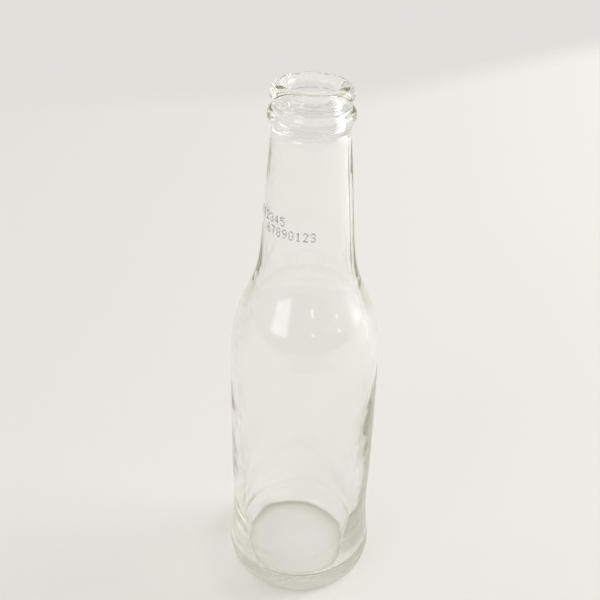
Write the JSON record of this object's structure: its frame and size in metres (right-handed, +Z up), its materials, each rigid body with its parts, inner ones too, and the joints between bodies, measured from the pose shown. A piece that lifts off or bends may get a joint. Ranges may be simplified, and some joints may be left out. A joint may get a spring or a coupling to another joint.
{
  "type": "glass soda bottle",
  "caption": "Small clear glass soda bottle with a crown finish, long tapering neck, rounded shoulder, thick heel and push-up base, with a printed line code on the neck.",
  "frame": {"origin": "centre of the circle the bottle stands on, at the bottom of its bounding box", "axes": "+Z up the bottle's own axis; -Y is the front; the printed code runs from the left to just past the front"},
  "size_m": [0.0544, 0.0544, 0.1942],
  "materials": {
    "clear_glass": "polished, clear with a slight green edge",
    "grey_ink": "matt ink-jet print"
  },
  "bodies": {
    "root": {"bottle_glass": "clear_glass", "code_upper_digit_1": "grey_ink", "code_upper_digit_2": "grey_ink", "code_upper_digit_3": "grey_ink", "code_upper_digit_4": "grey_ink", "code_upper_digit_5": "grey_ink", "code_upper_digit_6": "grey_ink", "code_lower_digit_1": "grey_ink", "code_lower_digit_2": "grey_ink", "code_lower_digit_3": "grey_ink", "code_lower_digit_4": "grey_ink", "code_lower_digit_5": "grey_ink", "code_lower_digit_6": "grey_ink", "code_lower_digit_7": "grey_ink", "code_lower_digit_8": "grey_ink"}
  },
  "joints": []
}
